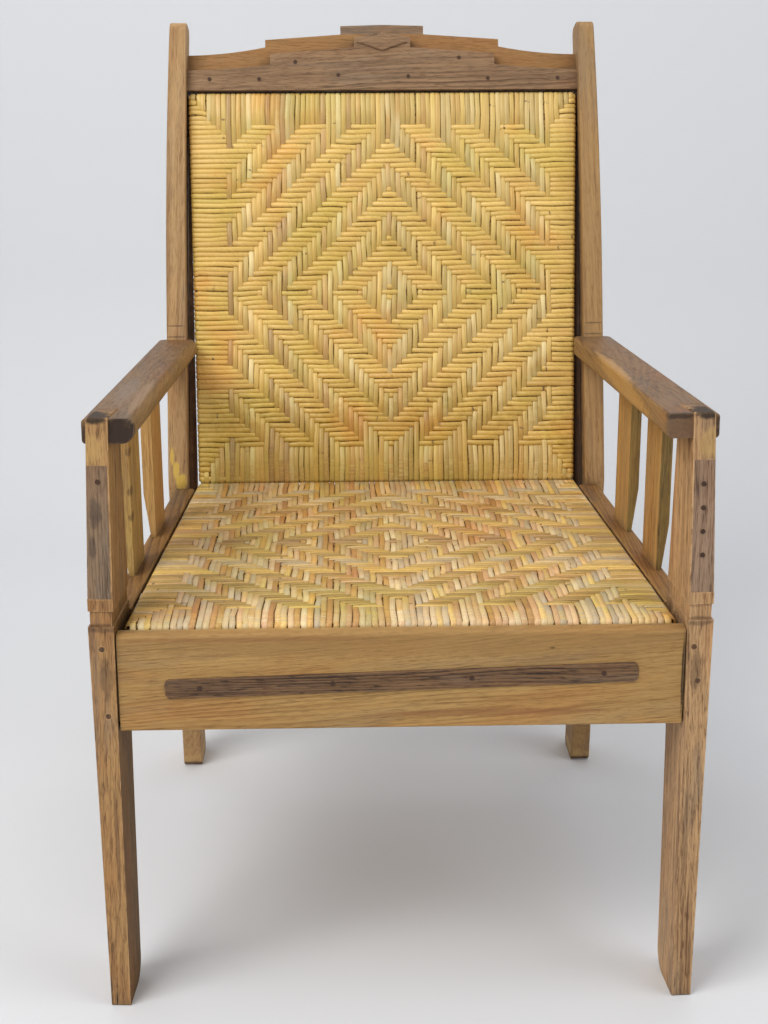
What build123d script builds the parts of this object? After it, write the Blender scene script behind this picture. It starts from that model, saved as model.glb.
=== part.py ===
from build123d import *
from math import atan2, cos, degrees, radians, sin, tan
import os

# Lamu armchair: plank legs and rails, an arm on each side, and two woven panels.
# Millimetres and degrees. X runs across the chair, Y from front to back, Z up.

# Plan of the seat frame, which narrows towards the back.
FRONT_WIDTH = 640.0
REAR_WIDTH = 576.0
FRAME_DEPTH = 552.0
SIDE_ANGLE = degrees(atan2((FRONT_WIDTH - REAR_WIDTH) / 2, FRAME_DEPTH))

# Fits between pieces.
SHOULDER_GAP = 1.2
MORTISE_ROOM = 1.0
SEAT_GAP = 4.0
REST_GAP = 0.3

# Seat rails.
RAIL_TOP = 431.0
RAIL_HEIGHT = 106.0
SIDE_RAIL_HEIGHT = 92.0
RAIL_THICKNESS = 16.0
SIDE_RAIL_THICKNESS = 25.0
SIDE_RAIL_INSET = 3.0
RAIL_SETBACK = 1.5
REAR_RAIL_HEIGHT = 74.0
REAR_RAIL_THICKNESS = 20.0
REAR_BEARING = 3.0
CLEAT_WIDTH = 16.0
CLEAT_HEIGHT = 22.0

# Front legs: a plank from the floor to the arm, stepped at the seat.
LEG_THICKNESS = 26.4
FOOT_THICKNESS = 21.0
FOOT_DEPTH = 66.0
LEG_DEPTH = 86.0
ARM_LEG_DEPTH = 56.0
SHOULDER_HEIGHT = 441.0
LOWER_BAND = 17.0
UPPER_BAND = 13.0
BAND_STEP = 2.2
POST_THICKNESS = 24.6
POST_LEAN = 8.0
POST_INNER_LEAN = 4.8

# Arms.
ARM_TOP = 658.0
ARM_FALL = 3.25
ARM_WIDTH = 52.0
ARM_THICKNESS = 25.0
ARM_OVERHANG = 5.5
ARM_LAP = 6.7
ARM_SETBACK = 3.0
ARM_TURN = 0.92
ARM_EDGE = 4.0
CROWN_RISE = 1.5
CROWN_ROUND = 2.0
ARM_NOSE = 16.0

# Rounding of each arm along the inner edge, under and over.
RIGHT_ARM_ROUND = (6.0, 3.0)
LEFT_ARM_ROUND = (13.0, 9.0)

# Slats under the arms.
SLAT_THICKNESS = 13.0
SLAT_DEPTH = 66.0
FIRST_SLAT = 190.0
SLAT_PITCH = 148.0
SLAT_FOOT = 6.0
SLAT_TAPER = 55.0
HOUSING = 10.0

# Back legs: a plank that kinks at the seat and bows in towards its tip.
BACK_SPREAD = 588.0
BACK_LEG_THICKNESS = 26.0
TIP_SPREAD = 571.0
TIP_THICKNESS = 22.5
BOW_RISE = 250.0
KINK_HEIGHT = 440.0
RECLINE = 16.5
BACK_LEG_RAKE = 48.0
BACK_FOOT_DEPTH = 68.0
BACK_LEG_DEPTH = 58.0
BACK_TIP_DEPTH = 48.0
BACK_LEG_RISE = 620.0
BACK_SOLE = 8.0
TIP_ROUND = 12.0
KINK_ROUND = 40.0
ARRIS = 1.2

# Woven panels: a wooden frame between two woven faces.
FACE = 6.0
BAR_WIDTH = 30.0
BAR_THICKNESS = 18.0
WRAP = 3.2
SEAT_PANEL_TOP = 435.5
SEAT_PANEL_OVERRUN = 14.5
BACK_PANEL_LENGTH = 530.7
BACK_PANEL_FOOT = -2.5
BACK_PANEL_SETBACK = 16.0
BACK_PANEL_TOP_GAP = 1.4
BACK_PANEL_FOOT_GAP = 13.2

# Crest, in heights above the top of the back panel.
CREST_FOOT = 2.0
CREST_SETBACK = 29.0
CREST_THICKNESS = 16.0
FACE_BOARD_THICKNESS = 15.0
CAP_LENGTH = 113.0
CAP_HEIGHT = 13.0
CAP_CORNER = 1.5
CAP_FOOT = 81.0

# Dark wood laid on the chair.
STRIP_LENGTH = 490.0
STRIP_HEIGHT = 21.5
STRIP_THICKNESS = 4.0
STRIP_PROUD = 1.5
STRIP_TILT = 1.5
INLAY_LENGTH = 140.0
INLAY_BORDER = 1.6
INLAY_EDGE = 0.4
INLAY_THICKNESS = 3.0

# Joints.
TENON = 11.0
TENON_LENGTH = 21.0
TENON_CHEEK = 2.0
RAIL_TENON = 9.0
RAIL_TENON_LENGTH = 20.0
CREST_TENON = 8.0
PEG = 6.0
DOWEL = 8.0
LOW_DOWEL_RISE = 183.0
HIGH_DOWEL_DROP = 50.0
NAIL_HEAD = 5.0
NAIL_LENGTH = 14.0
STRIP_NAIL_MARGIN = 36.0
INLAY_NAIL_MARGIN = 25.0

ROOMY = 2000.0
outer_x = FRONT_WIDTH / 2
back_inner = BACK_SPREAD / 2 - BACK_LEG_THICKNESS
tip_inner = TIP_SPREAD / 2 - TIP_THICKNESS
post_foot = SHOULDER_HEIGHT + LOWER_BAND + UPPER_BAND
seat_rear = FRAME_DEPTH + SEAT_PANEL_OVERRUN
arm_rear_height = ARM_TOP - FRAME_DEPTH * tan(radians(ARM_FALL))
arm_length = FRAME_DEPTH + (arm_rear_height - KINK_HEIGHT) * tan(radians(RECLINE)) + ARM_LAP
seat_rest = SEAT_PANEL_TOP - 2 * FACE - BAR_THICKNESS - REST_GAP

# The right side of the chair is drawn on its own plane, with X = 0 on the legs' outer face.
side_plane = Plane(Location((outer_x, 0, 0), (0, 0, SIDE_ANGLE)))

# The back is drawn on the front face of the back legs: X across, Y up the slope.
back_plane = Plane(
    origin=(0, FRAME_DEPTH, KINK_HEIGHT),
    x_dir=(1, 0, 0),
    z_dir=(0, -cos(radians(RECLINE)), sin(radians(RECLINE))),
)


def plate(points, plane, thickness):
    """A flat piece with the outline drawn on a plane, its back on the far side."""
    outline = plane * make_face(Polyline(*points, close=True))
    return extrude(outline, amount=thickness, dir=plane.z_dir)


def profile_x(points, start, end):
    """A piece whose outline is drawn from the side as depth and height."""
    return plate(points, Plane.YZ.offset(start), end - start)


def profile_y(points, start, end):
    """A piece whose outline is drawn from the front as width and height."""
    return plate(points, Plane.XZ.offset(-end), end - start)


def block(x, y, z):
    """A box given by its two ends along each axis."""
    size = (x[1] - x[0], y[1] - y[0], z[1] - z[0])
    return Pos(x[0], y[0], z[0]) * Box(*size, align=(Align.MIN, Align.MIN, Align.MIN))


def on_side(piece):
    return side_plane.location * piece


def other_side(piece):
    return mirror(piece, about=Plane.YZ)


# Front leg, in the plane of the right side.
def front_leg_outline():
    bands = [
        (SHOULDER_HEIGHT, 0.0),
        (SHOULDER_HEIGHT, BAND_STEP),
        (SHOULDER_HEIGHT + LOWER_BAND, BAND_STEP),
        (SHOULDER_HEIGHT + LOWER_BAND, BAND_STEP / 3),
        (post_foot, BAND_STEP / 3),
        (post_foot, BAND_STEP / 2),
    ]
    return bands


def front_leg():
    bands = front_leg_outline()
    side = [(0, 0)] + [(depth, height) for height, depth in bands]
    side += [(BAND_STEP / 2, ARM_TOP + 20), (ARM_LEG_DEPTH, ARM_TOP + 20)]
    side += [(LEG_DEPTH, SHOULDER_HEIGHT + 20), (LEG_DEPTH, SHOULDER_HEIGHT - 15)]
    side += [(FOOT_DEPTH + 5, SHOULDER_HEIGHT - RAIL_HEIGHT - 45), (FOOT_DEPTH, 0)]
    plank = profile_x(side, -ROOMY, ROOMY)

    outer = [(-2, 0)] + [(-depth, height) for height, depth in bands]
    outer += [(-BAND_STEP - POST_LEAN, ARM_TOP + 20)]
    post_inner = -BAND_STEP - POST_THICKNESS
    inner = [(post_inner - POST_INNER_LEAN, ARM_TOP + 20), (post_inner, post_foot)]
    inner += [(post_inner, SHOULDER_HEIGHT + LOWER_BAND)]
    inner += [(post_inner + BAND_STEP, SHOULDER_HEIGHT + LOWER_BAND)]
    inner += [(post_inner + BAND_STEP, SHOULDER_HEIGHT), (-LEG_THICKNESS, SHOULDER_HEIGHT)]
    inner += [(-LEG_THICKNESS + 1, RAIL_TOP - RAIL_HEIGHT), (-2 - FOOT_THICKNESS, 0)]
    leg = plank & profile_y(outer + inner, -ROOMY, ROOMY)

    heel = leg.edges().filter_by(Axis.X).group_by(Axis.Z)[0].sort_by(Axis.Y)[-1]
    leg = fillet(heel, 24)
    leg = leg - arm_top_waste()
    crown = leg.faces().sort_by(Axis.Z)[-1].edges()
    leg = fillet(crown, CROWN_ROUND)
    toe = leg.faces().sort_by(Axis.Z)[0].edges().sort_by(Axis.Y)[0]
    return chamfer(toe, 1.5)


def arm_top_waste():
    """Everything above the sloping top of the arm."""
    top = Location((0, 0, ARM_TOP + CROWN_RISE), (-ARM_FALL, 0, 0))
    return top * block((-ROOMY, ROOMY), (-ROOMY, ROOMY), (0, ROOMY))


def post_face(height):
    """The inner and outer edges of the upper leg's front face at a height."""
    share = (height - post_foot) / (ARM_TOP + 20 - post_foot)
    inner = -BAND_STEP - POST_THICKNESS - share * POST_INNER_LEAN
    outer = -BAND_STEP / 2 - share * (POST_LEAN + BAND_STEP / 2)
    return inner, outer


def inlay():
    """The dark panel let into the front of the upper leg, tapered with the leg."""
    head = post_foot + INLAY_LENGTH
    low_inner, low_outer = post_face(post_foot)
    high_inner, high_outer = post_face(head)
    outline = [(low_inner + INLAY_BORDER, post_foot), (low_outer - INLAY_EDGE, post_foot)]
    outline += [(high_outer - INLAY_EDGE, head), (high_inner + INLAY_BORDER, head)]
    return profile_y(outline, BAND_STEP / 2, BAND_STEP / 2 + INLAY_THICKNESS)


# Back leg, in the chair's own frame because the two back legs stand square.
def up_the_back(rise, depth):
    """Depth and height of a point up the back, measured square to its slope."""
    y = FRAME_DEPTH + rise * sin(radians(RECLINE)) + depth * cos(radians(RECLINE))
    z = KINK_HEIGHT + rise * cos(radians(RECLINE)) - depth * sin(radians(RECLINE))
    return (y, z)


def back_leg_points():
    foot = FRAME_DEPTH + BACK_LEG_RAKE
    return [
        (foot, 0),
        (FRAME_DEPTH, KINK_HEIGHT),
        up_the_back(BACK_LEG_RISE, 0),
        up_the_back(BACK_LEG_RISE, BACK_TIP_DEPTH),
        up_the_back(0, BACK_LEG_DEPTH),
        (foot + BACK_FOOT_DEPTH, 0),
    ]


def bowed(foot, tip, rise):
    """How far out a back leg's face stands, upright at first and then bowing to the tip."""
    share = max(0, rise - BOW_RISE) / (BACK_LEG_RISE - BOW_RISE)
    return foot + (tip - foot) * share**2


def front_view(inner_foot, inner_tip, outer_foot, outer_tip):
    """A plank seen from the front, between two faces that bow alike."""
    bow = up_the_back(BOW_RISE, 0)[1]
    tip = up_the_back(BACK_LEG_RISE, 0)[1]
    top = tip + ROOMY
    outline = Polyline((inner_tip, tip), (inner_tip, top), (outer_tip, top), (outer_tip, tip))
    outline += TangentArc((outer_foot, bow), (outer_tip, tip), tangent=(0, 1))
    outline += Polyline((outer_foot, bow), (outer_foot, -ROOMY), (inner_foot, -ROOMY), (inner_foot, bow))
    outline += TangentArc((inner_foot, bow), (inner_tip, tip), tangent=(0, 1))
    return extrude(Plane.XZ * make_face(outline), amount=ROOMY, both=True)


def back_leg():
    leg = behind_back_legs() & front_view(back_inner, tip_inner, BACK_SPREAD / 2, TIP_SPREAD / 2)
    across = leg.edges().filter_by(Axis.X).sort_by(Axis.Z)
    leg = fillet(across[-2:], TIP_ROUND)
    across = leg.edges().filter_by(Axis.X).filter_by_position(Axis.Z, 1, BOW_RISE + KINK_HEIGHT)
    leg = fillet(across, KINK_ROUND)
    soles = leg.edges().filter_by(Axis.X).filter_by_position(Axis.Z, -1, 1)
    leg = chamfer(soles, BACK_SOLE)
    return chamfer(leg.edges().filter_by(lambda e: e.length > BACK_LEG_DEPTH), ARRIS)


def behind_back_legs():
    """The space that the back legs' side view covers, right across the chair."""
    return profile_x(back_leg_points(), -ROOMY, ROOMY)


def between_back_legs():
    """The space between the back legs, which shapes the ends of the crest."""
    return front_view(-back_inner, -tip_inner, back_inner, tip_inner)


# Rails.
def front_rail():
    half = outer_x - LEG_THICKNESS - SHOULDER_GAP
    y = (RAIL_SETBACK, RAIL_SETBACK + RAIL_THICKNESS)
    rail = block((-half, half), y, (RAIL_TOP - RAIL_HEIGHT, RAIL_TOP))
    front_edges = rail.edges().filter_by(Axis.X).group_by(Axis.Y)[0].sort_by(Axis.Z)
    rail = fillet(front_edges[-1], 5)
    rail = fillet(rail.edges().filter_by(Axis.X).sort_by(Axis.Z)[0], 2)
    return rail


def front_rail_tenon(room=0.0):
    half = outer_x - LEG_THICKNESS - SHOULDER_GAP
    middle = RAIL_SETBACK + RAIL_THICKNESS / 2
    y = (middle - RAIL_TENON / 2, middle + RAIL_TENON / 2)
    z = (RAIL_TOP - RAIL_HEIGHT + 10, RAIL_TOP - 8)
    return block((half, half + SHOULDER_GAP + RAIL_TENON_LENGTH + room), y, z)


def side_rail():
    x = (-SIDE_RAIL_INSET - SIDE_RAIL_THICKNESS, -SIDE_RAIL_INSET)
    z = (RAIL_TOP - SIDE_RAIL_HEIGHT, RAIL_TOP)
    rail = on_side(block(x, (FOOT_DEPTH, FRAME_DEPTH + 20), z))
    rail = rail - on_side(full_front_leg_depth()) - behind_back_legs()
    inner_top = rail.edges().filter_by(lambda e: e.length > FRAME_DEPTH / 2).sort_by(Axis.Z)[-2:]
    return chamfer(inner_top, 1.5)


def full_front_leg_depth():
    """The space in front of the leg's rear edge, which shapes the side rail's shoulder."""
    rear = [(LEG_DEPTH, SHOULDER_HEIGHT + 20), (LEG_DEPTH, SHOULDER_HEIGHT - 15)]
    rear += [(FOOT_DEPTH + 5, SHOULDER_HEIGHT - RAIL_HEIGHT - 45), (0, 0), (0, SHOULDER_HEIGHT + 20)]
    return profile_x(rear, -ROOMY, ROOMY)


def side_rail_tenon(start, end):
    outer = -SIDE_RAIL_INSET - TENON_CHEEK
    x = (outer - TENON, outer)
    z = (RAIL_TOP - SIDE_RAIL_HEIGHT + 16, RAIL_TOP - 16)
    return on_side(block(x, (start, end), z))


def rear_rail():
    start = seat_rear - REAR_BEARING
    z = (seat_rest - REAR_RAIL_HEIGHT, seat_rest)
    return block((-back_inner, back_inner), (start, start + REAR_RAIL_THICKNESS), z)


def rear_rail_tenon(room=0.0):
    """A bare-faced tenon, flush with the back of the rear rail."""
    end = seat_rear - REAR_BEARING + REAR_RAIL_THICKNESS
    x = (back_inner, back_inner + BACK_LEG_THICKNESS / 2 + room)
    z = (seat_rest - REAR_RAIL_HEIGHT + 12, seat_rest - 12)
    return block(x, (end - RAIL_TENON, end), z)


def seat_cleat():
    """The strip inside a side rail that the seat panel rests on."""
    outer = -SIDE_RAIL_INSET - SIDE_RAIL_THICKNESS
    x = (outer - CLEAT_WIDTH, outer)
    z = (seat_rest - CLEAT_HEIGHT, seat_rest)
    return on_side(block(x, (LEG_DEPTH + CLEAT_WIDTH, FRAME_DEPTH - CLEAT_WIDTH), z))


# Arm and slats.
def arm(under_round, over_round):
    """A board that falls to the back, rounded along its edges and at its rear corners."""
    plane = Plane(Location((outer_x, 0, ARM_TOP), (-ARM_FALL, 0, ARM_TURN)))
    outer = ARM_OVERHANG - BAND_STEP - POST_LEAN
    inner = outer - ARM_WIDTH
    low = -ARM_THICKNESS
    section = make_face(Polyline((inner, 0), (outer, 0), (outer, low), (inner, low), close=True))
    under = section.vertices().group_by(Axis.X)[0].sort_by(Axis.Y)[0]
    section = fillet(under, under_round)
    over = section.vertices().sort_by(Axis.Y)[-2:].sort_by(Axis.X)[0]
    section = fillet(over, over_round)
    section = fillet(section.vertices().group_by(Axis.X)[-1], ARM_EDGE)
    board = extrude(Plane.XZ * section, amount=-arm_length)
    front = ARM_SETBACK
    ends = Polyline((inner, front), (outer, front), (outer, arm_length), (inner, arm_length), close=True)
    plan = fillet(make_face(ends).vertices().group_by(Axis.Y)[-1], ARM_NOSE)
    return plane.location * (board & extrude(plan, amount=ROOMY, both=True))


def slat(start):
    """A thin board housed in the arm and the side rail, its foot thinned from outside."""
    outline = [(0, ARM_TOP), (0, RAIL_TOP + SLAT_TAPER), (SLAT_FOOT - SLAT_THICKNESS, RAIL_TOP)]
    outline += [(SLAT_FOOT - SLAT_THICKNESS, RAIL_TOP - HOUSING)]
    outline += [(-SLAT_THICKNESS, RAIL_TOP - HOUSING), (-SLAT_THICKNESS, ARM_TOP)]
    board = on_side(profile_y(outline, start, start + SLAT_DEPTH))
    top = Location((0, 0, ARM_TOP - ARM_THICKNESS + HOUSING), (-ARM_FALL, 0, 0))
    return board - top * block((-ROOMY, ROOMY), (-ROOMY, ROOMY), (0, ROOMY))


# Woven panels, drawn lying flat with the upper face at Z = 0 and the front edge at Y = 0.
def trapezoid(front, back, start, end, top, thickness):
    points = [(-front, start), (front, start), (back, end), (-back, end)]
    return plate(points, Plane.XY.offset(top - thickness), thickness)


def woven_panel(front, back, length):
    """Two side bars, two cross bars tenoned between them, and the woven face on each side."""
    outer_front = front - WRAP
    outer_back = back - WRAP
    under = -FACE
    solid = trapezoid(outer_front, outer_back, WRAP, length - WRAP, under, BAR_THICKNESS)
    inner_start = outer_front - BAR_WIDTH
    inner_end = outer_back - BAR_WIDTH
    core = trapezoid(inner_start, inner_end, 0, length, under, BAR_THICKNESS)
    sides = (solid - core).solids().sort_by(Axis.X)
    ends = solid & core
    hollow = block((-ROOMY, ROOMY), (WRAP + BAR_WIDTH, length - WRAP - BAR_WIDTH), (-ROOMY, 0))
    cross = (ends - hollow).solids().sort_by(Axis.Y)
    tongue = block(
        (-front + BAR_WIDTH / 2, front - BAR_WIDTH / 2),
        (WRAP + 6, length - WRAP - 6),
        (under - BAR_THICKNESS * 2 / 3, under - BAR_THICKNESS / 3),
    )
    tongue = tongue & trapezoid(outer_front - 12, outer_back - 12, 0, length, under, BAR_THICKNESS)
    keep = block((-ROOMY, ROOMY), (WRAP + BAR_WIDTH - 6, length - WRAP - BAR_WIDTH + 6), (-ROOMY, 0))
    tongues = (tongue - keep).solids().sort_by(Axis.Y)
    left = sides[0] - tongues[0] - tongues[1]
    right = sides[1] - tongues[0] - tongues[1]
    front_bar = cross[0] + tongues[0]
    back_bar = cross[1] + tongues[1]
    upper = trapezoid(front, back, 0, length, 0, FACE)
    upper = fillet(upper.faces().sort_by(Axis.Z)[-1].edges(), FACE * 0.6)
    lower = trapezoid(front, back, 0, length, under - BAR_THICKNESS, FACE)
    lower = fillet(lower.faces().sort_by(Axis.Z)[0].edges(), FACE * 0.6)
    return [front_bar, back_bar, left, right, upper, lower]


def seat_panel():
    start = RAIL_SETBACK + RAIL_THICKNESS + 1
    length = seat_rear - start
    side = outer_x - SIDE_RAIL_INSET - SIDE_RAIL_THICKNESS - SEAT_GAP
    slope = tan(radians(SIDE_ANGLE))
    front = side - start * slope
    back = side - seat_rear * slope
    place = Pos(0, start, SEAT_PANEL_TOP)
    return [place * piece for piece in woven_panel(front, back, length)]


def back_panel():
    foot = back_inner - BACK_PANEL_FOOT_GAP
    head = bowed(back_inner, tip_inner, BACK_PANEL_FOOT + BACK_PANEL_LENGTH) - BACK_PANEL_TOP_GAP
    place = back_plane.offset(-BACK_PANEL_SETBACK).location * Pos(0, BACK_PANEL_FOOT, 0)
    return [place * piece for piece in woven_panel(foot, head, BACK_PANEL_LENGTH)]


# Crest.
def stepped_board(ends, steps, setback, thickness):
    """A board between the back legs: its top rises in a hollow curve, then steps to the middle."""
    half = back_inner
    base = BACK_PANEL_FOOT + BACK_PANEL_LENGTH
    top = [(x, base + height) for x, height in steps]
    turn = top[0]
    middle = ((half + turn[0]) / 2, base + ends + (turn[1] - base - ends) * 0.25)
    rise = ThreePointArc((half, base + ends), middle, turn)
    rest = Polyline(*top, (0, base + CREST_FOOT), (half, base + CREST_FOOT), (half, base + ends))
    plane = back_plane.offset(-setback - thickness)
    board = extrude(plane * make_face(rise + rest), amount=thickness, dir=plane.z_dir)
    return (board + other_side(board)) & between_back_legs()


def crest_rail():
    steps = [(159, 64), (159, 74), (CAP_LENGTH / 2, CAP_FOOT), (0, CAP_FOOT)]
    return stepped_board(53, steps, CREST_SETBACK, CREST_THICKNESS)


def crest_tenon(room=0.0):
    low = BACK_PANEL_FOOT + BACK_PANEL_LENGTH + 10
    high = low + 32
    start = tip_inner - TENON
    end = tip_inner + TIP_THICKNESS / 2 + room
    points = [(start, low), (end, low), (end, high), (start, high)]
    behind = CREST_SETBACK + (CREST_THICKNESS + CREST_TENON) / 2
    return plate(points, back_plane.offset(-behind), CREST_TENON)


def face_board():
    """The dark board in front of the crest rail, with a lozenge raised at its peak."""
    setback = CREST_SETBACK - FACE_BOARD_THICKNESS
    steps = [(152, 36), (152, 51), (38, 59), (38, 73), (0, 80)]
    board = stepped_board(29, steps, setback, FACE_BOARD_THICKNESS)
    base = BACK_PANEL_FOOT + BACK_PANEL_LENGTH
    lozenge = [(-34, base + 66), (0, base + 54), (34, base + 66), (0, base + 78)]
    boss = plate(lozenge, back_plane.offset(-setback), 3)
    outward = Axis((0, 0, 0), back_plane.z_dir)
    return board + chamfer(boss.faces().sort_by(outward)[-1].edges(), 1.4)


def crest_cap():
    foot = BACK_PANEL_FOOT + BACK_PANEL_LENGTH + CAP_FOOT
    half = CAP_LENGTH / 2
    shoulder = foot + CAP_HEIGHT - CAP_CORNER
    points = [(-half, foot), (half, foot), (half, shoulder), (0, foot + CAP_HEIGHT), (-half, shoulder)]
    plane = back_plane.offset(-CREST_SETBACK - CREST_THICKNESS - 1)
    return plate(points, plane, CREST_THICKNESS + 1)


# Dark strip on the front rail.
def rail_strip():
    half = STRIP_LENGTH / 2
    strip = block((-half, half), (0, STRIP_THICKNESS), (-STRIP_HEIGHT / 2, STRIP_HEIGHT / 2))
    strip = fillet(strip.edges().filter_by(Axis.Y), 6)
    strip = fillet(strip.faces().sort_by(Axis.Y)[0].edges(), 0.6)
    middle = RAIL_TOP - RAIL_HEIGHT / 2
    return Location((0, RAIL_SETBACK - STRIP_PROUD, middle), (0, -STRIP_TILT, 0)) * strip


# Fasteners.
def nail(place):
    """A round-headed nail, driven along the -Z of its place."""
    shank = Cylinder(NAIL_HEAD / 4, NAIL_LENGTH, align=(Align.CENTER, Align.CENTER, Align.MAX))
    head = Cylinder(NAIL_HEAD / 2, 0.8, align=(Align.CENTER, Align.CENTER, Align.MIN))
    return place * (shank + head)


def inlay_nail(rise):
    across = sum(post_face(post_foot + rise)) / 2
    place = Location((across, BAND_STEP / 2, post_foot + rise), (90, 0, 0))
    return nail(side_plane.location * place)


def leg_peg(height, inset):
    peg = Cylinder(PEG / 2, 30, rotation=(90, 0, 0), align=(Align.CENTER, Align.CENTER, Align.MIN))
    return on_side(Pos(-inset, 30, height) * peg)


def panel_dowel(rise):
    """A dowel through the back leg into the side of the back panel."""
    outer = bowed(BACK_SPREAD / 2, TIP_SPREAD / 2, rise) - REST_GAP
    reach = BACK_LEG_THICKNESS + BACK_PANEL_FOOT_GAP + BAR_WIDTH / 2
    pin = Cylinder(DOWEL / 2, reach, rotation=(0, 90, 0), align=(Align.CENTER, Align.CENTER, Align.MAX))
    depth = BACK_PANEL_SETBACK + FACE + BAR_THICKNESS / 2
    y, z = up_the_back(rise, depth)
    return Pos(outer, y, z) * pin


# Assembly, with each tenon cut into the piece that holds it.
def build():
    leg = on_side(front_leg() - inlay())
    dark_inlay = on_side(inlay())
    back = back_leg()
    rail = side_rail()
    front_tenon = side_rail_tenon(LEG_DEPTH - 34, LEG_DEPTH + 2)
    rear_tenon = side_rail_tenon(FRAME_DEPTH - 5, FRAME_DEPTH + TENON_LENGTH)
    leg = leg - side_rail_tenon(LEG_DEPTH - 34 - MORTISE_ROOM, LEG_DEPTH + 2)
    back = back - side_rail_tenon(FRAME_DEPTH - 5, FRAME_DEPTH + TENON_LENGTH + MORTISE_ROOM)
    rail = rail + front_tenon + rear_tenon
    leg = leg - front_rail_tenon(MORTISE_ROOM)
    back = back - rear_rail_tenon(MORTISE_ROOM) - crest_tenon(MORTISE_ROOM)

    slats = [slat(FIRST_SLAT), slat(FIRST_SLAT + SLAT_PITCH)]
    for board in slats:
        rail = rail - board
    right_arm = arm(*RIGHT_ARM_ROUND) - leg - back
    left_arm = arm(*LEFT_ARM_ROUND) - leg - back
    for board in slats:
        right_arm = right_arm - board
        left_arm = left_arm - board

    right_pegs = [leg_peg(RAIL_TOP - 19, 19), leg_peg(RAIL_TOP - 57, 13.5)]
    left_pegs = [other_side(leg_peg(RAIL_TOP - 14, 13)), other_side(leg_peg(RAIL_TOP - 88, 16))]
    high_dowel = BACK_PANEL_FOOT + BACK_PANEL_LENGTH - HIGH_DOWEL_DROP
    dowels = [panel_dowel(LOW_DOWEL_RISE), panel_dowel(high_dowel)]

    front = front_rail()
    tenon = front_rail_tenon()
    front = front + tenon + other_side(tenon) - rail_strip()
    rear = rear_rail() + rear_rail_tenon() + other_side(rear_rail_tenon())
    left_leg = other_side(leg)
    for right_peg, left_peg in zip(right_pegs, left_pegs):
        leg = leg - right_peg
        left_leg = left_leg - left_peg
        front = front - right_peg - left_peg
    crest = crest_rail() + crest_tenon() + other_side(crest_tenon())

    pieces = {"arm_right": right_arm, "arm_left": other_side(left_arm)}
    pieces["front_leg_right"] = leg
    pieces["front_leg_left"] = left_leg
    for name, piece in {
        "leg_inlay": dark_inlay,
        "side_rail": rail,
        "slat_front": slats[0],
        "slat_rear": slats[1],
        "seat_cleat": seat_cleat(),
    }.items():
        pieces[name + "_right"] = piece
        pieces[name + "_left"] = other_side(piece)

    seat = seat_panel()
    panel = back_panel()
    seat_names = ["front", "back", "left", "right"]
    for name, piece in zip(seat_names, seat):
        pieces["seat_frame_" + name] = piece
    pieces["seat_weave_upper"] = seat[4]
    pieces["seat_weave_under"] = seat[5]
    back_names = ["bottom", "top", "left", "right"]
    for dowel in dowels:
        back = back - dowel
        panel[3] = panel[3] - dowel
        panel[2] = panel[2] - other_side(dowel)
    for name, piece in zip(back_names, panel):
        pieces["back_frame_" + name] = piece
    pieces["back_weave_front"] = panel[4]
    pieces["back_weave_rear"] = panel[5]
    pieces["back_leg_right"] = back
    pieces["back_leg_left"] = other_side(back)

    board = face_board()
    base = BACK_PANEL_FOOT + BACK_PANEL_LENGTH
    board_face = back_plane.offset(FACE_BOARD_THICKNESS - CREST_SETBACK)
    low = base + 17
    spots = [(34 - back_inner, low), (101 - back_inner, low), (back_inner - 125, low), (back_inner - 30, low)]
    spots += [(-60, base + 22), (35, base + 20), (-118, base + 40), (104, base + 45)]
    crest_nails = [nail(board_face.location * Pos(x, y, 0)) for x, y in spots]
    strip_face = Location((0, RAIL_SETBACK - STRIP_PROUD, RAIL_TOP - RAIL_HEIGHT / 2), (90, 0, 0))
    tilt = Location((0, 0, 0), (0, 0, STRIP_TILT))
    reach = STRIP_LENGTH / 2 - STRIP_NAIL_MARGIN
    spots = (-reach, -STRIP_NAIL_MARGIN * 2, STRIP_NAIL_MARGIN * 2, reach)
    strip_nails = [nail(strip_face * tilt * Pos(x, 0, 0)) for x in spots]
    inlay_nails = []
    for count in range(1, 5):
        inlay_nails.append(inlay_nail(INLAY_LENGTH - count * INLAY_NAIL_MARGIN))
    left_inlay_nail = other_side(inlay_nail(INLAY_LENGTH - INLAY_NAIL_MARGIN * 2 / 3))
    strip = rail_strip()
    for one in crest_nails:
        board = board - one
        crest = crest - one
    for one in strip_nails:
        strip = strip - one
        front = front - one
    for one in inlay_nails:
        pieces["leg_inlay_right"] = pieces["leg_inlay_right"] - one
        pieces["front_leg_right"] = pieces["front_leg_right"] - one
    pieces["leg_inlay_left"] = pieces["leg_inlay_left"] - left_inlay_nail
    pieces["front_leg_left"] = pieces["front_leg_left"] - left_inlay_nail

    pieces["front_rail"] = front
    pieces["front_rail_strip"] = strip
    pieces["rear_rail"] = rear
    pieces["crest_rail"] = crest
    pieces["crest_face_board"] = board
    pieces["crest_cap"] = crest_cap()
    pieces["crest_nails"] = Compound(children=crest_nails)
    pieces["strip_nails"] = Compound(children=strip_nails)
    pieces["inlay_nails"] = Compound(children=inlay_nails + [left_inlay_nail])
    pieces["leg_pegs"] = Compound(children=right_pegs + left_pegs)
    pieces["panel_dowels"] = Compound(children=dowels + [other_side(pin) for pin in dowels])
    return pieces


def write(pieces):
    """Stands the chair over the origin and writes one file for each piece."""
    os.makedirs("parts", exist_ok=True)
    boxes = [piece.bounding_box() for piece in pieces.values()]
    middle = (min(box.min.Y for box in boxes) + max(box.max.Y for box in boxes)) / 2
    for name, piece in pieces.items():
        export_step(Pos(0, -middle, 0) * piece, "parts/" + name + ".step")


write(build())
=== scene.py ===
import math
import random

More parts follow.
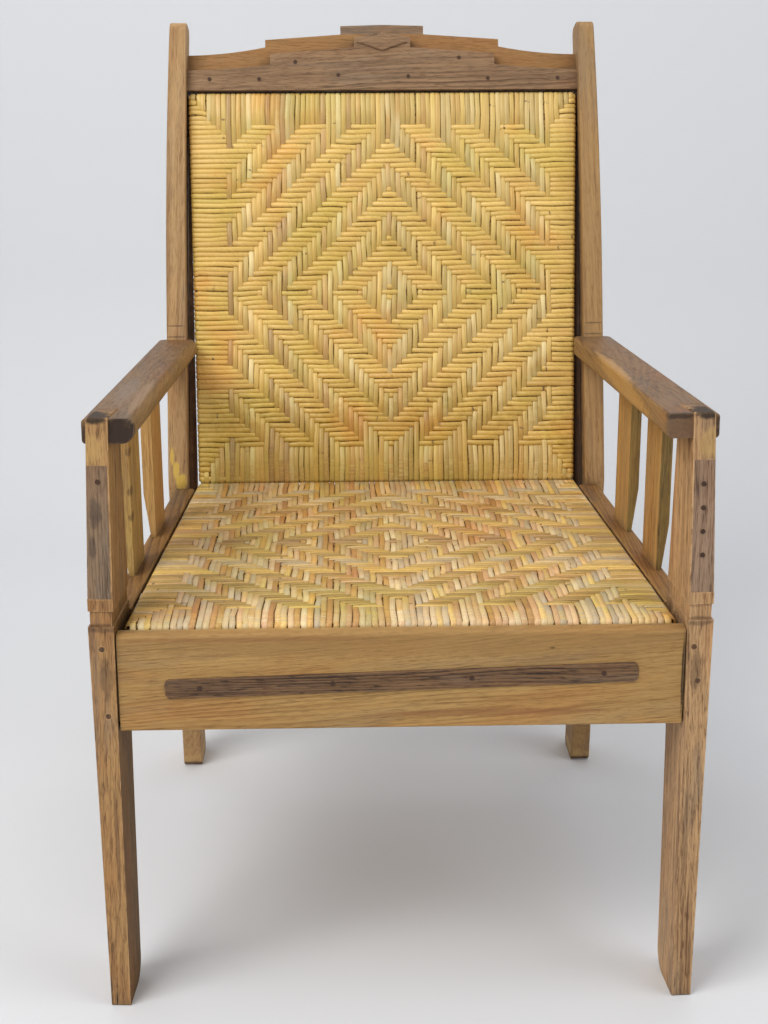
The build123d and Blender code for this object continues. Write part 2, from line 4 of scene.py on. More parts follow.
import bmesh
import bpy
from bpy.props import FloatProperty, FloatVectorProperty, IntProperty, PointerProperty
from mathutils import Euler, Matrix, Vector, noise


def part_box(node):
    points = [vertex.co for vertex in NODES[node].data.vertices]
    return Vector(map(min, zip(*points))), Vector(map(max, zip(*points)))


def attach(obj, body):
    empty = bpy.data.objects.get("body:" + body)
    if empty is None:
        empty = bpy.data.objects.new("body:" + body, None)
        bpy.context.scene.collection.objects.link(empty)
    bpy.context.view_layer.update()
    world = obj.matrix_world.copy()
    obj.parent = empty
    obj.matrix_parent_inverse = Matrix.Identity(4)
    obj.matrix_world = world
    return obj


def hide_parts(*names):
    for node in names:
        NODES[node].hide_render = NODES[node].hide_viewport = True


bl_info = {
    "name": "Woven plank armchair",
    "version": (1, 0, 0),
    "blender": (4, 5, 0),
    "location": "View3D > Sidebar > Chair",
    "description": "Wood, rattan and studio of a plank armchair with woven panels",
    "category": "Object",
}

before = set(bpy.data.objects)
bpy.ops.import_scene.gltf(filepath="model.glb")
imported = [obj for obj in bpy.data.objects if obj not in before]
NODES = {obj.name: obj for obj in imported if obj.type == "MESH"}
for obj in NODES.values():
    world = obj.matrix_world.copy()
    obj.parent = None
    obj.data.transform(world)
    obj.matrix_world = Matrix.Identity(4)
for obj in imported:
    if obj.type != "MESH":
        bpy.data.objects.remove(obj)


# ---------------------------------------------------------------- settings
def metres(name, description, default):
    return FloatProperty(name=name, description=description, default=default, unit="LENGTH")


def degrees(name, description, default):
    return FloatProperty(name=name, description=description, default=math.radians(default), subtype="ANGLE")


class WeaveSettings(bpy.types.PropertyGroup):
    strand_width: metres("Strand width", "Width of one split strand", 0.0068)
    squareness: FloatProperty(
        name="Squareness", description="How far a strand's section is from an ellipse to a box", default=0.20
    )
    strand_thickness: metres("Strand thickness", "Thickness of one split strand", 0.0030)
    warp_pitch: metres("Warp pitch", "Distance between neighbouring warps", 0.00675)
    seat_rows: IntProperty(name="Seat rows", description="Wefts across the seat", default=82)
    back_rows: IntProperty(name="Back rows", description="Wefts across the back", default=80)
    seat_back_width: metres("Seat width at the back", "Width of the seat panel at its rear edge", 0.5104)
    back_foot_width: metres("Back width at the foot", "Width of the back panel at its lower edge", 0.5096)
    recline: degrees("Recline", "Lean of the back from upright", 16.5)
    foot_gap: metres("Gap at the foot", "Between the back panel's foot and the leg", 0.0132)
    head_gap: metres("Gap at the head", "Between the back panel's head and the leg", 0.0014)
    packing_clearance: metres("Packing clearance", "Between the packing and the panel", 0.0006)
    packing_setback: metres("Packing setback", "Behind the panel's face", 0.014)
    packing_gap: metres("Packing gap", "Daylight kept at the foot of the left packing", 0.0028)
    packing_foot: metres("Packing foot", "How far the packing goes on below the panel", 0.036)
    packing_depth: metres("Packing depth", "From front to rear", 0.014)
    panel_thickness: metres("Panel thickness", "Over both woven faces", 0.030)
    wander: metres("Wander", "How far a strand strays sideways", 0.00040)
    drift: metres("Drift", "How far the whole weave strays from its grid", 0.0021)
    seed: IntProperty(name="Seed", description="Seed of the strand variation", default=7, min=1)


class WoodSettings(bpy.types.PropertyGroup):
    light: FloatVectorProperty(
        name="Light wood", description="Colour of the early wood", subtype="COLOR", size=3,
        default=(0.50, 0.285, 0.098),
    )
    dark: FloatVectorProperty(
        name="Dark wood", description="Colour of the late wood", subtype="COLOR", size=3,
        default=(0.205, 0.100, 0.032),
    )
    lean: degrees("Lean", "Lean of the back legs' grain", 16.5)
    bump: metres("Relief", "Depth of the weathered grain", 0.0006)


class StudioSettings(bpy.types.PropertyGroup):
    camera_place: FloatVectorProperty(
        name="Camera", description="Where the camera stands", subtype="TRANSLATION", size=3,
        default=(-0.0571, -1.9417, 1.0242),
    )
    pitch: degrees("Pitch", "How far the camera looks down", 16.60)
    yaw: degrees("Yaw", "How far the camera turns right", 1.433)
    roll: degrees("Roll", "How far the camera tips", -0.215)
    lens: FloatProperty(name="Lens", description="Focal length on a 24 mm high sensor", default=38.05)
    key: FloatProperty(name="Key light", description="Power of the main light in watts", default=66.0)
    fill: FloatProperty(name="Fill light", description="Power of the fill light in watts", default=22.0)


# ---------------------------------------------------------------- shader helpers
class Graph:
    """A short way to add nodes to a material or group and join them."""

    def __init__(self, tree):
        self.tree = tree

    def add(self, kind, **settings):
        node = self.tree.nodes.new(kind)
        for key, value in settings.items():
            setattr(node, key, value)
        return node

    def join(self, source, target):
        self.tree.links.new(source, target)

    def put(self, socket, value):
        if isinstance(value, bpy.types.NodeSocket):
            self.join(value, socket)
        elif socket.type == "RGBA":
            socket.default_value = (*value, 1.0)
        else:
            socket.default_value = value

    def math(self, operation, a, b=None, clamp=False):
        node = self.add("ShaderNodeMath", operation=operation, use_clamp=clamp)
        self.put(node.inputs[0], a)
        if b is not None:
            self.put(node.inputs[1], b)
        return node.outputs[0]

    def plus(self, a, b, clamp=False):
        return self.math("ADD", a, b, clamp)

    def minus(self, a, b, clamp=False):
        return self.math("SUBTRACT", a, b, clamp)

    def times(self, a, b):
        return self.math("MULTIPLY", a, b)

    def vector(self, operation, a, b=None):
        node = self.add("ShaderNodeVectorMath", operation=operation)
        self.put(node.inputs[0], a)
        if b is not None:
            self.put(node.inputs[1], b)
        return node.outputs["Value" if operation in ("LENGTH", "DOT_PRODUCT") else "Vector"]

    def parts(self, vector):
        node = self.add("ShaderNodeSeparateXYZ")
        self.join(vector, node.inputs[0])
        return node.outputs

    def noise(self, vector, scale, detail=3.0, rough=0.5, output="Fac"):
        node = self.add("ShaderNodeTexNoise")
        self.put(node.inputs["Vector"], vector)
        self.put(node.inputs["Scale"], scale)
        node.inputs["Detail"].default_value = detail
        node.inputs["Roughness"].default_value = rough
        return node.outputs[output]

    def smooth(self, value, low, high, start=0.0, end=1.0):
        node = self.add("ShaderNodeMapRange", interpolation_type="SMOOTHSTEP")
        self.put(node.inputs["Value"], value)
        self.put(node.inputs["From Min"], low)
        self.put(node.inputs["From Max"], high)
        self.put(node.inputs["To Min"], start)
        self.put(node.inputs["To Max"], end)
        return node.outputs["Result"]

    def mix(self, factor, a, b, blend="MIX"):
        node = self.add("ShaderNodeMix", data_type="RGBA", blend_type=blend)
        self.put(node.inputs[0], factor)
        self.put(node.inputs[6], a)
        self.put(node.inputs[7], b)
        return node.outputs[2]

    def ramp(self, value, stops):
        node = self.add("ShaderNodeValToRGB")
        self.put(node.inputs[0], value)
        while len(node.color_ramp.elements) < len(stops):
            node.color_ramp.elements.new(0.5)
        for element, (place, colour) in zip(node.color_ramp.elements, stops):
            element.position = place
            element.color = (*colour, 1.0)
        return node.outputs[0]


def new_group(name, inputs, outputs):
    """A node group's graph, what it is given and what it makes."""
    tree = bpy.data.node_groups.new(name, "ShaderNodeTree")
    for label, kind, value in inputs:
        socket = tree.interface.new_socket(name=label, in_out="INPUT", socket_type=kind)
        if value is not None:
            socket.default_value = value
    for label, kind in outputs:
        tree.interface.new_socket(name=label, in_out="OUTPUT", socket_type=kind)
    graph = Graph(tree)
    start = graph.add("NodeGroupInput")
    end = graph.add("NodeGroupOutput")
    return graph, start.outputs, end.inputs


def new_material(name):
    material = bpy.data.materials.new(name)
    material.use_nodes = True
    return material, Graph(material.node_tree), material.node_tree.nodes["Principled BSDF"].inputs


def raise_relief(graph, surface, height, strength, distance):
    bump = graph.add("ShaderNodeBump")
    bump.inputs["Strength"].default_value = strength
    bump.inputs["Distance"].default_value = distance
    graph.join(height, bump.inputs["Height"])
    graph.join(bump.outputs["Normal"], surface["Normal"])


def wood_group():
    """Plank wood whose grain runs along Z round a pith at X = Y = 0, with rings, fibres, pores and checks."""
    graph, given, made = new_group(
        "plank wood",
        [
            ("Vector", "NodeSocketVector", None),
            ("Light", "NodeSocketColor", (0.5, 0.3, 0.1, 1)),
            ("Dark", "NodeSocketColor", (0.2, 0.1, 0.04, 1)),
            ("Rings", "NodeSocketFloat", 1.0),
            ("Spacing", "NodeSocketFloat", 0.0045),
            ("Grey", "NodeSocketFloat", 0.3),
            ("Red", "NodeSocketFloat", 0.3),
            ("Checks", "NodeSocketFloat", 0.5),
            ("Coarse", "NodeSocketFloat", 0.6),
        ],
        [("Color", "NodeSocketColor"), ("Roughness", "NodeSocketFloat"), ("Height", "NodeSocketFloat")],
    )
    place = given["Vector"]

    def stretched(across, along, detail=3.0, rough=0.6, source=None):
        moved = graph.vector("MULTIPLY", place if source is None else source, (across, across, along))
        return graph.noise(moved, 1.0, detail, rough)

    sway = graph.noise(graph.vector("MULTIPLY", place, (9.0, 9.0, 1.7)), 1.0, output="Color")
    offset = graph.vector("SUBTRACT", sway, (0.5, 0.5, 0.5))
    bent = graph.vector("ADD", place, graph.vector("MULTIPLY", offset, (0.034, 0.034, 0.0)))
    distance = graph.vector("LENGTH", graph.vector("MULTIPLY", bent, (1.0, 1.0, 0.0)))
    years = graph.math("DIVIDE", distance, given["Spacing"])
    years = graph.plus(years, graph.times(stretched(30.0, 2.0), 1.6))
    year = graph.math("FRACT", years)
    late = graph.times(graph.smooth(year, 0.25, 0.88), graph.smooth(year, 1.0, 0.90))
    faint = graph.smooth(stretched(22.0, 3.0), 0.35, 0.68, 0.25, 1.0)
    late = graph.times(graph.times(late, faint), given["Rings"])
    fibre = stretched(360.0, 6.0, 4.0, 0.7, bent)
    streak = stretched(120.0, 3.2, 3.0, 0.6, bent)
    cloud = stretched(11.0, 3.5, 4.0, 0.6)
    fleck = graph.smooth(stretched(430.0, 52.0, 2.0, 0.6), 0.52, 0.72)
    coarse = given["Coarse"]
    tone = graph.plus(graph.times(late, 0.50), graph.times(streak, 0.80))
    fibres = graph.times(graph.minus(fibre, 0.5), graph.plus(0.55, coarse))
    tone = graph.plus(tone, fibres)
    tone = graph.plus(tone, graph.times(fleck, graph.times(coarse, 0.45)))
    tone = graph.plus(tone, graph.times(graph.minus(cloud, 0.5), 0.9))
    colour = graph.mix(graph.smooth(tone, 0.15, 1.12), given["Light"], given["Dark"])
    red = graph.times(graph.smooth(stretched(16.0, 4.5), 0.46, 0.68), given["Red"])
    colour = graph.mix(red, colour, (1.0, 0.66, 0.44), "MULTIPLY")
    grey = graph.times(graph.smooth(stretched(26.0, 5.0, 5.0, 0.65), 0.50, 0.68), given["Grey"])
    colour = graph.mix(grey, colour, (0.20, 0.165, 0.125))
    pore = graph.smooth(stretched(1700.0, 60.0, 1.0, 0.5), 0.58, 0.70)
    colour = graph.mix(graph.times(pore, 0.5), colour, (0.42, 0.33, 0.26), "MULTIPLY")
    split = graph.math("ABSOLUTE", graph.minus(stretched(46.0, 1.3, 4.0, 0.6, bent), 0.5))
    split = graph.times(graph.smooth(split, 0.008, 0.002), graph.smooth(stretched(14.0, 4.0), 0.50, 0.60))
    split = graph.times(split, given["Checks"])
    colour = graph.mix(split, colour, (0.055, 0.032, 0.02))
    graph.join(colour, made["Color"])
    rough = graph.plus(0.50, graph.times(fibre, 0.30))
    graph.join(rough, made["Roughness"])
    height = graph.plus(graph.times(fibre, 0.7), graph.times(streak, 0.9))
    height = graph.minus(height, graph.times(late, 0.25))
    height = graph.minus(height, graph.times(pore, 0.35))
    height = graph.minus(height, graph.times(split, 2.2))
    graph.join(height, made["Height"])
    return graph.tree


def patch_group():
    """A soft-edged ellipsoid in object space with a ragged border, from 0 outside to 1 inside."""
    graph, given, made = new_group(
        "patch",
        [
            ("Vector", "NodeSocketVector", None),
            ("Centre", "NodeSocketVector", None),
            ("Reach", "NodeSocketVector", None),
            ("Ragged", "NodeSocketFloat", 0.8),
        ],
        [("Mask", "NodeSocketFloat")],
    )
    away = graph.vector("SUBTRACT", given["Vector"], given["Centre"])
    away = graph.vector("DIVIDE", away, given["Reach"])
    ragged = graph.noise(given["Vector"], 120.0, 4.0, 0.65)
    shift = graph.times(graph.minus(ragged, 0.5), given["Ragged"])
    distance = graph.plus(graph.vector("LENGTH", away), shift)
    graph.join(graph.smooth(distance, 1.0, 0.55), made["Mask"])
    return graph.tree


def edge_group():
    """Worn arrises, and painted shade with grime in corners: where the surface bends outwards, and where it
    is hemmed in.
    """
    graph, given, made = new_group(
        "edge wear", [("Vector", "NodeSocketVector", None)],
        [("Worn", "NodeSocketFloat"), ("Dirty", "NodeSocketFloat")],
    )
    soft = graph.add("ShaderNodeBevel", samples=4)
    soft.inputs["Radius"].default_value = 0.0030
    flat = graph.add("ShaderNodeNewGeometry").outputs["Normal"]
    agree = graph.vector("DOT_PRODUCT", soft.outputs["Normal"], flat)
    rub = graph.noise(given["Vector"], 60.0, 4.0, 0.65)
    worn = graph.smooth(agree, 0.985, 0.80)
    graph.join(graph.times(worn, graph.smooth(rub, 0.38, 0.62)), made["Worn"])
    # painted shade with grime: darker in patches where ambient occlusion finds the surface hemmed in
    hemmed = graph.add("ShaderNodeAmbientOcclusion", samples=4)
    hemmed.inputs["Distance"].default_value = 0.028
    shade_and_grime = graph.smooth(hemmed.outputs["AO"], 0.75, 0.25)
    graph.join(graph.times(shade_and_grime, graph.smooth(rub, 0.30, 0.55)), made["Dirty"])
    return graph.tree


GROUPS = {}
# the first colour is painted shade with grime for hemmed-in corners
SHADE_AND_GRIME, BLACK, BROWN = (0.040, 0.026, 0.017), (0.020, 0.013, 0.010), (0.10, 0.055, 0.03)
FACING = (0.55, 0.92)  # how far a face turns to an axis before a tint begins, and before it is full


def group_node(graph, name, **values):
    node = graph.add("ShaderNodeGroup", node_tree=GROUPS[name])
    for key, value in values.items():
        graph.put(node.inputs[key], value)
    return node


GRAIN_TURNS = {
    "X": (0.0, math.radians(90), 0.0),
    "Y": (math.radians(90), 0.0, 0.0),
    "Z": (0.0, 0.0, 0.0),
}


def wood_material(name, light, dark, grain="Z", lean=(0.0, 0.0), pith=None, spacing=0.0045, rings=1.0,
                  grey=0.3, red=0.3, checks=0.5, wear=0.35, dirt=0.6, coarse=0.5, top=None, front=None,
                  beside=None, patches=(), polish=0.0, relief=1.0):
    """Wood cut round its own pith, with worn edges, painted shade with grime in hemmed-in corners, local
    marks, tints for faces up, and painted shade on faces turned forward or to +X.
    """
    material, graph, surface = new_material(name)
    coordinates = graph.add("ShaderNodeTexCoord").outputs["Object"]
    turn = graph.add("ShaderNodeMapping")
    graph.join(coordinates, turn.inputs["Vector"])
    rx, ry, rz = GRAIN_TURNS[grain]
    angles = Euler((rx + lean[0], ry + lean[1], rz))
    turn.inputs["Rotation"].default_value = angles
    dice = random.Random(name)
    if pith is None:
        low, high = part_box(name)
        side = dice.choice((-1, 1))
        pith = [(low[i] + high[i]) / 2 + side * dice.uniform(0.025, 0.060) for i in range(3)]
    start = -(angles.to_matrix() @ Vector(pith))
    start.z += dice.uniform(-3, 3)
    turn.inputs["Location"].default_value = start
    wood = group_node(graph, "wood", Vector=turn.outputs["Vector"], Light=light, Dark=dark, Rings=rings,
                      Spacing=spacing, Grey=grey, Red=red, Checks=checks, Coarse=coarse)
    colour = wood.outputs["Color"]
    edges = group_node(graph, "edges", Vector=coordinates)
    facing = graph.parts(graph.add("ShaderNodeNewGeometry").outputs["Normal"])
    if top is not None:
        colour = graph.mix(graph.smooth(facing["Z"], *FACING), colour, top, "MULTIPLY")
    # painted shade: faces turned forward take this tint
    if front is not None:
        colour = graph.mix(graph.smooth(facing["Y"], -FACING[0], -FACING[1]), colour, front, "MULTIPLY")
    # painted shade: faces turned to +X take this tint, in full below 0.43 m and at 0.4 above 0.47 m
    if beside is not None:
        low = graph.plus(0.4, graph.times(graph.smooth(graph.parts(coordinates)["Z"], 0.47, 0.43), 0.6))
        mask = graph.times(graph.smooth(facing["X"], *FACING), low)
        colour = graph.mix(mask, colour, beside, "MULTIPLY")
    for centre, reach, tint, strength in patches:
        mask = group_node(graph, "patch", Vector=coordinates, Centre=centre, Reach=reach).outputs["Mask"]
        colour = graph.mix(graph.times(mask, strength), colour, tint)
    pale = tuple(min(1.0, 1.25 * c + 0.03) for c in light)
    colour = graph.mix(graph.times(edges.outputs["Worn"], wear), colour, pale)
    # painted shade with grime in hemmed-in corners
    colour = graph.mix(graph.times(edges.outputs["Dirty"], dirt), colour, SHADE_AND_GRIME)
    graph.join(colour, surface["Base Color"])
    surface["Specular IOR Level"].default_value = 0.35
    graph.join(graph.minus(wood.outputs["Roughness"], polish, clamp=True), surface["Roughness"])
    raise_relief(graph, surface, wood.outputs["Height"], 0.85, bpy.context.scene.chair_wood.bump * relief)
    return material


def dress(node, material):
    mesh = NODES[node].data
    mesh.materials.clear()
    mesh.materials.append(material)


def plank(node, light, dark, *grain, **look):
    dress(node, wood_material(node, light, dark, *grain, **look))


# ---------------------------------------------------------------- weave
SECTION_SIDES = 8
SEAT_MIDDLE, BACK_MIDDLE = 0.2805, 0.2580  # from a panel's front or lower edge to the middle of its diamonds
BORDERS = (5.0, 7.5, 6.5)  # strands in the borders at the sides, the start and the end of a panel
FLOAT_ARCH = 0.0003  # how far the middle of a float stands out over the others
FLOAT_SAG = 0.0002  # how far the middle of a float lies in under the others
FLOAT_DIP = 0.24  # where a float starts and ends, in pitches inside its outer strands
EDGE_ROOM = 3.6  # where floats give way to the turn round the edge, in half thicknesses
LAST_CROSSING = 0.55  # how near the edge strands still cross, in pitches
FADE = 0.03  # how far inside the edge the weave starts to stray in full
TURN_STEPS = [(3.2, 1.0), (1.7, 1.7), (1.0, 3.2)]  # inwards and down round an edge, in half thicknesses
WARP_WIDTHS, WEFT_WIDTHS = (0.95, 1.08), (0.90, 1.06)  # least and most, as shares of the strand width


def weft_on_top(warp, row):
    """Diamond twill: floats of five that step outwards from the middle of the panel."""
    return (abs(warp) + abs(row)) % 10 in (7, 8, 9, 0, 1)


class Panel:
    """A woven panel lying flat: U across, V along from its lower edge, W out of its face."""

    def __init__(self, settings, place, start_width, end_width, length, rows, middle, field, weft_share):
        self.start_width = start_width
        self.end_width = end_width
        self.length = length
        self.row_pitch = length / rows
        self.pitch = settings.warp_pitch
        self.middle = middle
        self.centre, self.reach = field
        self.weft_share = weft_share
        self.side_border, self.start_border, self.end_border = BORDERS
        self.place = place
        self.half = settings.strand_thickness / 2
        self.thickness = settings.panel_thickness
        self.wander = settings.wander
        self.drift = settings.drift
        self.seed = settings.seed
        first = math.ceil((self.row_pitch / 2 - middle) / self.row_pitch)
        last = math.floor((length - self.row_pitch / 2 - middle) / self.row_pitch)
        self.rows = range(first, last + 1)
        widest = max(start_width, end_width) / 2
        reach = math.floor((widest - self.pitch / 2) / self.pitch)
        self.warps = range(-reach, reach + 1)

    def half_width(self, v):
        return (self.start_width + (self.end_width - self.start_width) * v / self.length) / 2

    def v_of(self, row):
        return self.middle + row * self.row_pitch

    def weft_over(self, warp, row):
        v = self.v_of(row)
        side = (self.half_width(v) / self.pitch - abs(warp)) / self.side_border
        start = v / self.row_pitch / self.start_border
        end = (self.length - v) / self.row_pitch / self.end_border
        nearest = min(start, end)
        if side >= 1 and nearest >= 1 and abs(warp - self.centre) <= self.reach:
            return weft_on_top(warp - self.centre, row)
        return side < nearest

    def level(self, on_top, front):
        """Height of a strand's middle below the face, on the front or the rear face."""
        depth = self.half if on_top else 3 * self.half
        return -depth if front else depth - self.thickness

    def floats(self, places, tops, pitch, front, limits):
        """Points along one face, dipping at each float's ends and arched on the front, between the turns."""
        points = []
        begin = 0
        for index in range(1, len(places) + 1):
            if index < len(places) and tops[index] == tops[begin]:
                continue
            low = places[begin] - pitch / 2
            high = places[index - 1] + pitch / 2
            height = self.level(tops[begin], front)
            arch = FLOAT_ARCH if tops[begin] else -FLOAT_SAG
            dip = pitch * FLOAT_DIP
            between = (self.level(True, front) + self.level(False, front)) / 2
            if begin:
                points.append((low, between))
            points.append((low + dip, height))
            if front:
                points.append(((low + high) / 2, height + arch))
            points.append((high - dip, height))
            begin = index
        return [point for point in points if limits[0] < point[0] < limits[1]]

    def stray(self, u, v):
        """Where hand weaving carries a point of the flat panel, a little off the even grid."""
        inner = min(v, self.length - v, self.half_width(v) - abs(u))
        fade = min(1.0, max(0.0, inner / FADE))
        drift = noise.noise_vector(Vector((u * 17, v * 17, self.seed)))
        ripple = noise.noise_vector(Vector((u * 55, v * 55, self.seed + 9)))
        return (drift * self.drift + ripple * self.drift * 0.3) * fade

    def turn(self, edge, inward):
        """Points round the edge of the frame, from the front face to the rear face."""
        t = self.half
        down = [(edge + inward * t * a, -t * b) for a, b in TURN_STEPS]
        up = [(edge + inward * t * a, -self.thickness + t * b) for a, b in reversed(TURN_STEPS)]
        return down + up

    def winding(self, places, tops, pitch, start, end, turns=(True, True)):
        """A strand's path along the front, round the end, back along the rear and round the start."""
        room = self.half * EDGE_ROOM
        limits = (start + room, end - room)
        face = self.floats(places, tops, pitch, True, limits)
        rest = self.turn(end, -1) if turns[1] else []
        rest += reversed(self.floats(places, tops, pitch, False, limits))
        if turns[0]:
            rest += reversed(self.turn(start, 1))
        return face + rest if turns[1] else rest + face

    def placed(self, points):
        """Points of the flat panel where the weave carries them, in the chair's frame."""
        return [self.place @ (Vector((*self.stray(u, v).xy, 0)) + Vector((u, v, w))) for u, v, w in points]


def back_panel_place(settings):
    """Where the back panel's lower edge stands and how it leans, its length and its width at the head."""
    low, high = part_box("back_weave_front")
    lean = settings.recline
    face_rise = 2 * settings.strand_thickness * math.sin(lean)
    length = (high[2] - low[2] - face_rise) / math.cos(lean)
    along = Vector((0, math.sin(lean), math.cos(lean)))
    out = Vector((0, -math.cos(lean), math.sin(lean)))
    turn = Matrix((Vector((1, 0, 0)), along, out)).transposed().to_4x4()
    return Matrix.Translation((0, low[1], low[2] + face_rise)) @ turn, length, high[0] * 2


def strand_curve(name, loops, across, settings, dice):
    """One mesh for many strands: each loop is a round spline, then pressed flat square to across."""
    data = bpy.data.curves.new(name, "CURVE")
    data.dimensions = "3D"
    data.twist_mode = "MINIMUM"
    data.bevel_mode = "ROUND"
    data.bevel_depth = settings.strand_width / 2
    data.bevel_resolution = (SECTION_SIDES - 4) // 2
    for points, closed, width in loops:
        spline = data.splines.new("POLY")
        spline.points.add(len(points) - 1)
        for target, point in zip(spline.points, points):
            target.co = (*point, 1)
            target.radius = width * (1 + dice.gauss(0, 0.03))
        spline.use_cyclic_u = closed
        spline.use_smooth = True
    carrier = bpy.data.objects.new(name, data)
    bpy.context.scene.collection.objects.link(carrier)
    bpy.context.view_layer.update()
    mesh = bpy.data.meshes.new_from_object(carrier.evaluated_get(bpy.context.evaluated_depsgraph_get()))
    bpy.data.objects.remove(carrier)
    flatten = settings.strand_thickness / settings.strand_width
    centres = [Vector(point) for points, _, _ in loops for point in points for _ in range(SECTION_SIDES)]
    if len(centres) != len(mesh.vertices):
        raise RuntimeError(f"{name}: {len(centres)} section points for {len(mesh.vertices)} vertices")
    shape = bmesh.new()
    shape.from_mesh(mesh)
    edges = []
    for vertex, centre in zip(shape.verts, centres):
        offset = vertex.co - centre
        share = (offset.dot(across) / offset.length) ** 2
        offset *= 1 + settings.squareness * 4 * share * (1 - share)  # fullest halfway round to the edge
        sideways = across * offset.dot(across)
        vertex.co = centre + sideways + (offset - sideways) * flatten
        edges.append(share)
    bmesh.ops.holes_fill(shape, edges=[edge for edge in shape.edges if edge.is_boundary], sides=0)
    shape.to_mesh(mesh)
    shape.free()
    mesh.attributes.new(name="edge", type="FLOAT", domain="POINT").data.foreach_set("value", edges)
    return mesh


def tone_strands(mesh, loops, alike, dice):
    """Writes each strand's tones and the length along it; alike strands take after their neighbours."""
    tones = mesh.color_attributes.new(name="tone", type="FLOAT_COLOR", domain="POINT")
    values = []
    for index, (points, closed, _) in enumerate(loops):
        batch = 0.5 + noise.noise(Vector((index * 0.23, dice.choice((4.0, 4.15)), 0.5))) * 1.1
        shade = min(1.0, max(0.0, alike * batch + (1 - alike) * dice.random()))
        second = dice.random()
        start = dice.random() * 5
        run = 0.0
        last = Vector(points[0])
        for point in points:
            here = Vector(point)
            run += (here - last).length
            last = here
            values.extend([shade, second, start + run, 1.0] * SECTION_SIDES)
    if len(values) != 4 * len(mesh.vertices):
        raise RuntimeError(f"{mesh.name}: {len(values) // 4} tones for {len(mesh.vertices)} points")
    tones.data.foreach_set("color", values)


def weave_panel(name, panel, body, replaced, settings, materials):
    """Winds the warps and the wefts of a panel; each set replaces one of its skins."""
    dice = random.Random(settings.seed + len(name))
    noise.seed_set(settings.seed)  # without it noise_vector starts from the clock
    last_crossing = panel.pitch * LAST_CROSSING

    def jitter():
        return dice.gauss(0, 1) * panel.wander

    warps = []
    for warp in panel.warps:
        u = warp * panel.pitch
        rows = [row for row in panel.rows if panel.half_width(panel.v_of(row)) - abs(u) > last_crossing]
        if len(rows) < 3:
            continue
        u += jitter()
        turns = (rows[0] == panel.rows[0], rows[-1] == panel.rows[-1])
        tops = [not panel.weft_over(warp, row) for row in rows]
        path = panel.winding([panel.v_of(row) for row in rows], tops, panel.row_pitch, 0, panel.length, turns)
        points = panel.placed([(u + jitter() * 0.8, v, w) for v, w in path])
        warps.append((points, all(turns), dice.uniform(*WARP_WIDTHS)))
    wefts = []
    for row in panel.rows:
        v = panel.v_of(row)
        edge = panel.half_width(v)
        crossing = [warp for warp in panel.warps if edge - abs(warp) * panel.pitch > last_crossing]
        tops = [panel.weft_over(warp, row) for warp in crossing]
        path = panel.winding([warp * panel.pitch for warp in crossing], tops, panel.pitch, -edge, edge)
        v += jitter()
        points = panel.placed([(u, v + jitter() * 0.8, w) for u, w in path])
        wefts.append((points, True, panel.weft_share * dice.uniform(*WEFT_WIDTHS)))
    pieces = []
    turned = panel.place.to_3x3()
    sides = (turned @ Vector((1, 0, 0)), turned @ Vector((0, 1, 0)))
    sets = zip(("warps", "wefts"), (warps, wefts), materials, sides, (0.0, 0.7))
    for part, loops, material, across, alike in sets:
        label = f"{name}_{part}"
        mesh = strand_curve(label, loops, across, settings, dice)
        mesh.name = label
        tone_strands(mesh, loops, alike, dice)
        mesh.materials.clear()
        mesh.materials.append(material)
        piece = bpy.data.objects.new(label, mesh)
        bpy.context.scene.collection.objects.link(piece)
        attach(piece, body)
        pieces.append(piece)
    for piece, node in zip(pieces, replaced):
        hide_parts(node)


